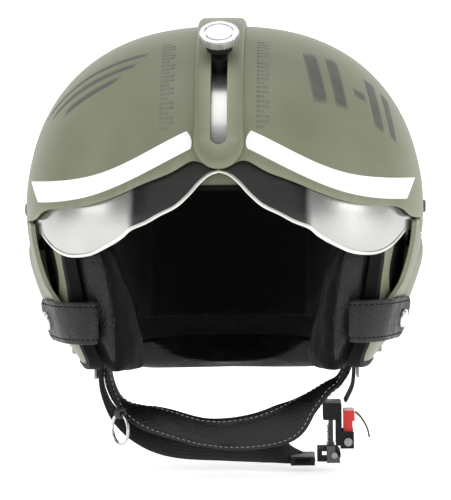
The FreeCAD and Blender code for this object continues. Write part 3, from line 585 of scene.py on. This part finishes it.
def leather_strap(side_name, side):
    """One continuous leather band with a round free end, rolled edges and two rows of stitches."""
    count, ring_steps = 110, 40
    groove_depth, groove_width, softness = 0.35, 0.7 * MM, 0.25 * MM
    frames = leather_frames(side, count)
    verts, charts = [], []
    length = 0.0
    for i, (m, _, wide, out, height) in enumerate(frames):
        if i:
            length += (m - frames[i - 1][0]).length
        tall = end_share(length)
        for j in range(ring_steps):
            u, thin = power_round(2 * math.pi * j / ring_steps, 0.3, 0.9)
            from_groove = abs(u) * height / 2 - (height / 2 - STITCH_INSET * MM)
            groove = groove_depth * math.exp(-(from_groove / groove_width) ** 2)
            soft = softness * noise.noise(V((length * 90, u * 3.0, side * 5 + (1 if thin > 0 else -1))))
            offset = thin * (LEATHER_THICK * MM / 2) * (1 - groove) + soft * abs(thin)
            verts.append(m + wide * (u * tall * height / 2) + out * offset)
            charts.append((length, u * height / 2))
    replaced = ("leather_flap_" + side_name, "leather_fold_" + side_name)
    band = new_piece("leather_strap_" + side_name, verts, loft_faces(len(frames), ring_steps), "leather",
                     None, replaced, charts)
    blend_crease(band)
    for edge, share in (("upper", STITCH_SHARE), ("lower", -STITCH_SHARE)):
        line = edge_line(frames, share, 1, band, 0.05, 0.97)
        row = stitches("leather_stitch_%s_%s" % (edge, side_name), line, "thread", None)
        blend_crease(row)


for side_name, side in SIDES:
    leather_strap(side_name, side)


# ---------------------------------------------------------------- chin strap

WEB_WIDTH = 24.6
WEB_THICK = 2.1
WEB_X = 84.6      # the strap's two legs, below their anchors
WEB_Y = 6.0
LEG_TOP = -84.6
# (x, y, z, twist in degrees) down the right leg, under the chin and up to the strap slider.
WEBBING_ROUTE = [(-WEB_X, WEB_Y, LEG_TOP, 0), (-WEB_X, WEB_Y, -95, 0), (-WEB_X, WEB_Y, -106, 0),
                 (-82.8, 5.5, -122, 4), (-75, 4.5, -137, 16), (-58, 3.5, -148, 42), (-34, 2.5, -154.5, 70),
                 (0, 2.0, -156.5, 84), (26, 2.5, -158.5, 66), (42, 4.5, -165, 22), (57.2, WEB_Y, -168, 0)]
# The same down the left leg to the buckle's housing.
BUCKLE_ROUTE = [(WEB_X, WEB_Y, LEG_TOP, 0), (WEB_X, WEB_Y, -95, 0), (WEB_X, WEB_Y, -106, 0),
                (83.6, WEB_Y, -118, 0), (80.2, WEB_Y, -126, 0), (78.4, WEB_Y, -129.3, 0)]


def webbing(name, node, route, count):
    """A ribbed webbing of one width along a route."""
    stations = [(*place, WEB_WIDTH) for place in route]
    ring = ribbed_section(WEB_THICK * MM)
    strap_piece(name, stations, ring, "web", "chin_strap", (node,), count)


webbing("chin_webbing_ribbed", "chin_webbing", WEBBING_ROUTE, 150)
webbing("buckle_strap_ribbed", "buckle_strap", BUCKLE_ROUTE, 50)

PAD_THICK = 3.2   # at the leaf's edges, before it swells
PAD_SEAM = 0.8    # the stitched seams, as a share of half its width


def pad_swell(along, across, face):
    """The padded leaf is plump in the middle, and pinched along its seams and across its middle."""
    crown = (1 - across * across) * 1.6
    seam = 1.3 * math.exp(-((abs(across) - PAD_SEAM) / 0.07) ** 2)
    cross_seam = 1.2 * math.exp(-((along - 0.5) / 0.012) ** 2)
    crease = 0.5 * noise.noise(V((along * 14, across * 2.0, face * 3.0)))
    return (crown - seam - cross_seam + crease) * MM


# (x, y, z, twist in degrees, width) from the right anchor under the chin to the left one.
PAD_STATIONS = [(-79.6, 5, -101, 0, 16.5), (-79.4, 5, -110, 0, 17.5), (-76.4, 4.5, -121.5, 8, 17.5),
                (-70, 4.2, -130.8, 16, 17.2), (-58, 0, -137.5, 40, 20), (-40, -3.5, -142.5, 72, 19.5),
                (-14, -5.5, -149, 86, 19.5), (14, -6.0, -149, 90, 23.5), (38, -5.5, -143, 84, 26.5),
                (54, -3.2, -130.5, 48, 19.2), (65, 1, -121.5, 20, 17.6), (74, 4.5, -116, 8, 17),
                (79.2, 5, -108.5, 0, 16.5), (79.6, 5, -101, 0, 16.5)]
leaf = rounded_section(PAD_THICK * MM, 2.6)
chin_pad, pad_frames = strap_piece("chin_pad_leather", PAD_STATIONS, leaf, "band", "chin_strap",
                                   ("chin_pad",), 120, pad_swell)
for edge, share in (("upper", PAD_SEAM), ("lower", -PAD_SEAM)):
    for face_name, face in (("front", 1), ("back", -1)):
        stitches("chin_stitch_%s_%s" % (edge, face_name),
                 edge_line(pad_frames, share, face, chin_pad, 0.03, 0.97),
                 "pale_thread", "chin_strap", length=2.2, gap=1.4, radius=0.26)


# ---------------------------------------------------------------- small strap parts

PIN_X, PIN_Z = 71.0, -164.5          # the tongue's pin, which the loop goes round
LOOP_INNER, LOOP_OUTER = 2.45, 4.25
LOOP_END = 59.6                      # where the two layers end, sewn together
SEWN_FROM = 62.8                     # where the opening round the pin starts
LOOP_BEND = 66.0
LOOP_SIDES = (-4.9, 16.9)
LOOP_RIB = 0.1


def arc(radius, first, last, steps=20):
    """(x, z) points on an arc round the tongue's pin between two angles in degrees."""
    angles = [math.radians(first + (last - first) * i / steps) for i in range(steps + 1)]
    return [(PIN_X + radius * math.cos(a), PIN_Z + radius * math.sin(a)) for a in angles]


def loop_piece():
    """The webbing that folds round the tongue's pin, with ribs along it."""
    low, high = PIN_Z - LOOP_OUTER, PIN_Z + LOOP_OUTER
    outside = [(LOOP_END, low), (LOOP_BEND, low)] + arc(LOOP_OUTER, -90, 90)
    outside += [(LOOP_BEND, high), (LOOP_END, high)]
    hollow = [(SEWN_FROM, PIN_Z + LOOP_INNER)] + arc(LOOP_INNER, 90, -90) + [(SEWN_FROM, PIN_Z - LOOP_INNER)]
    inside = hollow[::-1]
    bm = bmesh.new()
    rows, rows_per_rib = 24, 3
    layers = []
    for r in range(rows + 1):
        y = LOOP_SIDES[0] + (LOOP_SIDES[1] - LOOP_SIDES[0]) * r / rows
        rib = LOOP_RIB * math.cos(2 * math.pi * r / rows_per_rib)
        outer_row = [bm.verts.new((x * MM, y * MM, (z + (rib if z > PIN_Z else -rib)) * MM))
                     for x, z in outside]
        inner_row = [bm.verts.new((x * MM, y * MM, z * MM)) for x, z in inside]
        layers.append((outer_row, inner_row))
    for a, b in zip(layers, layers[1:]):
        for loop_a, loop_b in zip(a, b):
            for j, point in enumerate(loop_a):
                k = (j + 1) % len(loop_a)
                bm.faces.new((point, loop_a[k], loop_b[k], loop_b[j]))
    for layer in (layers[0], layers[-1]):
        edges = []
        for loop in layer:
            edges += [bm.edges.get(pair) for pair in zip(loop, loop[1:] + loop[:1])]
        bmesh.ops.triangle_fill(bm, use_beauty=True, edges=edges)
    bmesh.ops.recalc_face_normals(bm, faces=bm.faces)
    mesh = bpy.data.meshes.new("webbing_loop_folded")
    bm.to_mesh(mesh)
    bm.free()
    chart = mesh.uv_layers.new(name="along")
    for loop in mesh.loops:
        co = mesh.vertices[loop.vertex_index].co
        chart.data[loop.index].uv = (co.x + co.z * 0.2, co.y)
    dress(linked("webbing_loop_folded", mesh), "web", "tongue", ("webbing_loop",))


loop_piece()
strap_piece("pull_tab_leather", [(85.4, 6, -137, 0, 12.6), (89, 6, -140.5, 0, 12.6), (92.8, 6, -147, 0, 12.4),
                                 (94.5, 6, -153.6, 0, 9)],
            rounded_section(1.2 * MM, 5.0), "leather", "lever", ("pull_tab",), 30)


# ---------------------------------------------------------------- padding

def from_node(name, node, voxel, shrink, finish):
    """A fresh even mesh of a padded CAD node's shape, drawn in a little, that replaces it."""
    obj = linked(name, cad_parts[node].data.copy())
    obj.data.materials.clear()
    remesh = obj.modifiers.new("even", "REMESH")
    remesh.mode = "VOXEL"
    remesh.voxel_size = voxel * MM
    depsgraph = bpy.context.evaluated_depsgraph_get()
    mesh = bpy.data.meshes.new_from_object(obj.evaluated_get(depsgraph))
    obj.modifiers.clear()
    obj.data = mesh
    relax(obj, 3, 0.5)
    normals = [v.normal.copy() for v in mesh.vertices]
    for v, n in zip(mesh.vertices, normals):
        v.co -= n * shrink * MM
    smooth_shaded(mesh)
    return dress(obj, finish, "helmet", (node,))


def relax(obj, times, amount):
    """Evens a mesh's points out towards their neighbours."""
    bm = bmesh.new()
    bm.from_mesh(obj.data)
    for _ in range(times):
        bmesh.ops.smooth_vert(bm, verts=bm.verts, factor=amount, use_axis_x=True, use_axis_y=True,
                              use_axis_z=True)
    bm.to_mesh(obj.data)
    bm.free()
    obj.data.update()


CLOTH_STEPS = 20
CLOTH_PRESSURE = 4.0


def inflate(obj, cap):
    """Swells a cushion with a short cloth run and keeps every point within cap of where it was."""
    scene = bpy.context.scene
    start = [v.co.copy() for v in obj.data.vertices]
    cloth = obj.modifiers.new("cloth", "CLOTH")
    cloth.settings.quality = 4
    cloth.settings.use_pressure = True
    cloth.settings.uniform_pressure_force = CLOTH_PRESSURE
    cloth.settings.effector_weights.gravity = 0.0
    cloth.settings.tension_stiffness = 12.0
    cloth.settings.compression_stiffness = 12.0
    cloth.settings.bending_stiffness = 0.3
    for frame_number in range(1, CLOTH_STEPS + 1):
        scene.frame_set(frame_number)
    swollen = obj.evaluated_get(bpy.context.evaluated_depsgraph_get()).to_mesh()
    for v, moved, rest in zip(obj.data.vertices, [p.co.copy() for p in swollen.vertices], start):
        shift = moved - rest
        if shift.length > cap * MM:
            shift *= cap * MM / shift.length
        v.co = rest + shift
    obj.modifiers.remove(cloth)
    scene.frame_set(1)


def subdivide(obj):
    smooth = obj.modifiers.new("smooth", "SUBSURF")
    smooth.levels = 1
    smooth.render_levels = 1


def past_seam(x, y, z):
    """How far a cheek pad's point lies past the seam between vinyl roll and cloth, in millimetres."""
    behind_roll = y + 50.0 + 0.13 * (z + 60.0)
    inside_roll = 84.0 - abs(x) + 0.1 * (y + 60.0)
    return min(behind_roll, inside_roll)


def cheek_pad(side_name, side):
    """A cheek pad: smooth vinyl front roll, a seam, and soft wrinkled cloth on the side towards the face."""
    seam_depth, seam_width, fade = 2.0, 1.6, 6.0
    pad = from_node("cheek_pad_soft_" + side_name, "cheek_pad_" + side_name, 4.5, 2.6, "cloth")
    inflate(pad, 6.0)
    pad.data.materials.append(FINISHES["vinyl"])
    for v in pad.data.vertices:
        x, y, z = (c / MM for c in v.co)
        inner = max(0.0, -v.normal.x * side)
        fold = noise.noise(V((y * 0.055, z * 0.09 + 0.03 * y, side * 3.0))) * 2.4
        fine = noise.noise(V((y * 0.16, z * 0.2, side * 9.0))) * 0.9
        behind = past_seam(x, y, z)
        if behind > 0:
            v.co += v.normal * ((fold + fine) * inner * MM * min(1.0, behind / fade))
        seam = math.exp(-(behind / seam_width) ** 2)
        v.co -= v.normal * (seam_depth * seam * MM)
    for polygon in pad.data.polygons:
        if past_seam(*(polygon.center / MM)) < 0:
            polygon.material_index = 1
    subdivide(pad)


def comfort_liner():
    """The cloth inside the crown: four sewn channels from front to back, and slack between them."""
    channel_depth, slack = 1.8, 0.8
    channels = ((24.0, 2.2), (52.0, 2.4))   # x to either side, and width
    liner = from_node("comfort_liner_soft", "comfort_liner", 4.0, 0.6, "cloth")
    for v in liner.data.vertices:
        x, y, z = (c / MM for c in v.co)
        inward = max(0.0, -v.normal.dot(v.co.normalized()))
        quilt = sum(math.exp(-((abs(x) - place) / width) ** 2) for place, width in channels)
        v.co += v.normal * (inward * (slack * noise.noise(V((x, y, z)) * 0.04) - channel_depth * quilt) * MM)
    subdivide(liner)


def neck_roll():
    """The vinyl roll round the back of the neck."""
    roll = from_node("neck_roll_soft", "neck_roll", 3.5, 1.0, "vinyl")
    inflate(roll, 3.0)
    subdivide(roll)


for side_name, side in SIDES:
    cheek_pad(side_name, side)
comfort_liner()
neck_roll()


# ---------------------------------------------------------------- printed marks on the visor cover

FILM_LIFTS = (0.14, -0.1)   # a printed film's outer and inner face, from the cover's surface
RAY_START = 0.3             # in metres, outside the helmet
cover_tree = tree_of(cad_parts["visor_cover"])


def on_cover(x, angle, lift):
    """The point of the visor cover at x and an angle above forwards, lifted off it, in metres."""
    a = math.radians(angle)
    out = V((0, -math.cos(a), math.sin(a)))
    hit, normal, _, _ = cover_tree.ray_cast(V((x * MM, 0, 0)) + out * RAY_START, -out)
    return hit + normal * (lift * MM)


def printed(name, patches):
    """One thin printed film of four-cornered patches, each given as (x, angle) corners, columns and rows."""
    verts, faces = [], []
    for corners, columns, rows in patches:
        (ax, aa), (bx, ba), (cx, ca), (dx, da) = corners
        faces += film_faces(columns, rows, len(verts))
        for lift in FILM_LIFTS:
            for r in range(rows + 1):
                for c in range(columns + 1):
                    u, v = c / columns, r / rows
                    x = (ax * (1 - u) + bx * u) * (1 - v) + (dx * (1 - u) + cx * u) * v
                    angle = (aa * (1 - u) + ba * u) * (1 - v) + (da * (1 - u) + ca * u) * v
                    verts.append(on_cover(x, angle, lift))
    new_piece(name, verts, faces, "mark", "helmet")


# Plain swept bars on one side and slanted bars on the other.
printed("swept_bars", [
    ([(-46, 60.5), (-112, 63.0), (-114, 60.0), (-48, 58.5)], 24, 3),
    ([(-52, 56.0), (-108, 56.5), (-110, 52.5), (-56, 53.6)], 22, 3),
    ([(-62, 51.0), (-100, 49.0), (-101, 45.0), (-68, 48.4)], 16, 3),
])
printed("slanted_bars", [
    ([(52, 61), (61, 62), (68, 38), (59, 37)], 6, 16),
    ([(66, 63), (74, 63), (81, 38), (73, 38)], 6, 16),
    ([(84, 51), (92, 51), (93, 46.5), (85, 46.5)], 5, 4),
    ([(91, 63), (98, 63), (104, 36), (98, 36)], 6, 18),
    ([(102, 63), (107, 63), (112, 36), (108, 36)], 5, 18),
])
TICK_ROWS = 22
TICK_TOP, TICK_PITCH, TICK_HEIGHT = 64.0, 1.8, 0.8     # in degrees above forwards
TICK_COLUMNS = ((-37.0, -28.5), (23.5, 31.0))
ticks = []
for left, right in TICK_COLUMNS:
    for k in range(TICK_ROWS):
        top = TICK_TOP - TICK_PITCH * k
        end = left + (right - left) * (1.0 if k % 3 else 0.62)
        bottom = top - TICK_HEIGHT
        ticks.append(([(left, top), (end, top), (end, bottom), (left, bottom)], 4, 1))
printed("tick_columns", ticks)


# ---------------------------------------------------------------- visor edge and painted shade in the pockets

# (x, z) down the visor's lower edge, from the nose to the temple.
VISOR_EDGE = [(0, 23.5), (6, 21.5), (12, 16.7), (19, 9), (27, 2), (37, -3), (46, -8), (55.5, -12),
              (62, -17.4), (73, -23.7), (81, -27.4), (90, -29), (98, -28.8), (105.6, -26), (111.4, -21.5),
              (116.6, -16)]


def visor_bead():
    """A bright rounded bead along the visor's lower edge."""
    above_edge, half_wide, half_thick, lift = 1.3, 1.15 * MM, 0.5 * MM, 0.1 * MM
    ring = 10
    tree = tree_of(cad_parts["visor"])
    half = spline([(x, 0, z) for x, z in VISOR_EDGE], 90)
    middles = []
    for p in [V((-q.x, 0, q.z)) for q in half[:0:-1]] + half:
        hit, normal, _, _ = tree.ray_cast(V((p.x * MM, -RAY_START, (p.z + above_edge) * MM)), V((0, 1, 0)))
        if hit is not None and hit.y < 0:
            middles.append((hit, normal))
    verts = []
    for i, (m, normal) in enumerate(middles):
        along = (middles[min(i + 1, len(middles) - 1)][0] - middles[max(i - 1, 0)][0]).normalized()
        up = along.cross(normal).normalized()
        for j in range(ring):
            t = 2 * math.pi * j / ring
            verts.append(m + up * (math.cos(t) * half_wide) + normal * (math.sin(t) * half_thick + lift))
    faces = loft_faces(len(middles), ring)
    new_piece("visor_edge_bead", verts, faces, "bead", "visor_carrier")


def pocket_painted_shade(side_name, side):
    """A thin black film on the shell in the pocket behind a side cover's front edge: painted shade for the
    dark gap there.
    """
    top, height, back = -9.0, 46.0, -20.0
    columns, rows = 8, 26
    tree = tree_of(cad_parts["outer_shell"])
    verts = []
    for lift in (0.22, -0.1):
        for r in range(rows + 1):
            z = top - height * r / rows
            front = -46.5 + 9.0 * ((r / rows - 0.4) / 0.6) ** 2
            for c in range(columns + 1):
                y = front + (back - front) * c / columns
                hit, normal, _, _ = tree.ray_cast(V((side * RAY_START, y * MM, z * MM)), V((-side, 0, 0)))
                verts.append(hit + normal * (lift * MM))
    faces = film_faces(columns, rows)
    # The black rubber finish on this film is painted shade, not a part of the helmet.
    new_piece("pocket_painted_shade_" + side_name, verts, faces, "trim", "helmet")


visor_bead()
for side_name, side in SIDES:
    pocket_painted_shade(side_name, side)


# ---------------------------------------------------------------- floor, light and camera

FLOOR_Z = -0.1755
FLOOR_FRONT, FLOOR_BACK = -2.5, 0.9    # the flat part
FLOOR_SIDE = 3.5
WALL_BEND = 0.8                        # radius of the curve up into the wall
WALL_TOP = 3.0
BEND_STEPS = 16


def stage_floor():
    """A pale floor that curves up into a pale wall behind the helmet."""
    profile = [(FLOOR_FRONT, 0.0), (FLOOR_BACK, 0.0)]
    for i in range(1, BEND_STEPS + 1):
        a = math.radians(90 * i / BEND_STEPS)
        profile.append((FLOOR_BACK + WALL_BEND * math.sin(a), WALL_BEND - WALL_BEND * math.cos(a)))
    profile.append((FLOOR_BACK + WALL_BEND, WALL_TOP))
    verts = [(x, y, FLOOR_Z + z) for y, z in profile for x in (-FLOOR_SIDE, FLOOR_SIDE)]
    faces = [(2 * i, 2 * i + 1, 2 * i + 3, 2 * i + 2) for i in range(len(profile) - 1)]
    mesh = bpy.data.meshes.new("floor")
    mesh.from_pydata(verts, [], faces)
    smooth_shaded(mesh)
    pale = Finish("pale_floor", rgb(246, 246, 246), rgb(250, 250, 250), 3.0, (0.85, 0.95), specular=0.1)
    pale.shader.inputs["Emission Color"].default_value = (1.0, 1.0, 1.0, 1.0)
    pale.shader.inputs["Emission Strength"].default_value = 0.62
    # The wall shows from its front only, so it doesn't hide the helmet in a view from behind.
    from_back = pale.node("ShaderNodeNewGeometry").outputs["Backfacing"]
    pale.link(pale.math("LESS_THAN", from_back, 0.5), pale.shader.inputs["Alpha"])
    mesh.materials.append(pale.material)
    linked("floor", mesh)


# Soft lights that face the origin: name, place and size in metres, and watts.
LIGHTS = (
    ("key", (0.0, -0.3, 1.8), (1.6, 1.9), 19),
    ("left_soft", (-1.6, -0.6, 0.6), (0.8, 1.4), 8),
    ("front", (0.0, -2.6, 0.3), (3.2, 2.0), 11),
    ("right_soft", (1.6, -0.6, 0.6), (0.8, 1.4), 9),
)


def area_light(name, place, size, power):
    data = bpy.data.lights.new(name, "AREA")
    data.shape = "RECTANGLE"
    data.size, data.size_y = size
    data.energy = power
    obj = linked(name, data)
    obj.location = place
    obj.rotation_euler = (V() - V(place)).to_track_quat("-Z", "Y").to_euler()


WORLD_STRENGTH = 0.24


def soft_room(scene):
    """Even white light from all round."""
    world = bpy.data.worlds.new("soft_room")
    world.use_nodes = True
    background = world.node_tree.nodes["Background"]
    background.inputs["Color"].default_value = (1.0, 1.0, 1.0, 1.0)
    background.inputs["Strength"].default_value = WORLD_STRENGTH
    scene.world = world


CAMERA_DISTANCE = 1.6
CAMERA_AZIMUTH = math.radians(1.8)
CAMERA_ELEVATION = math.radians(2.0)
CAMERA_ROLL = math.radians(-0.6)
CAMERA_TARGET = V((0.0, 0.0, -0.028))
SENSOR_WIDTH = 36.0
LENS = 173.52


def place_camera(scene):
    """A long lens almost straight in front of the face opening."""
    camera = linked("camera", bpy.data.cameras.new("camera"))
    camera.data.sensor_width = SENSOR_WIDTH
    camera.data.lens = LENS
    level = math.cos(CAMERA_ELEVATION)
    back = V((math.sin(CAMERA_AZIMUTH) * level, -math.cos(CAMERA_AZIMUTH) * level,
              math.sin(CAMERA_ELEVATION)))
    camera.location = CAMERA_TARGET + back * CAMERA_DISTANCE
    look = (-back).to_track_quat("-Z", "Y").to_matrix()
    camera.rotation_euler = (look @ Matrix.Rotation(CAMERA_ROLL, 3, "Z")).to_euler()
    scene.camera = camera


stage_floor()
for light in LIGHTS:
    area_light(*light)
soft_room(bpy.context.scene)
bpy.context.scene.view_settings.view_transform = "Standard"
place_camera(bpy.context.scene)
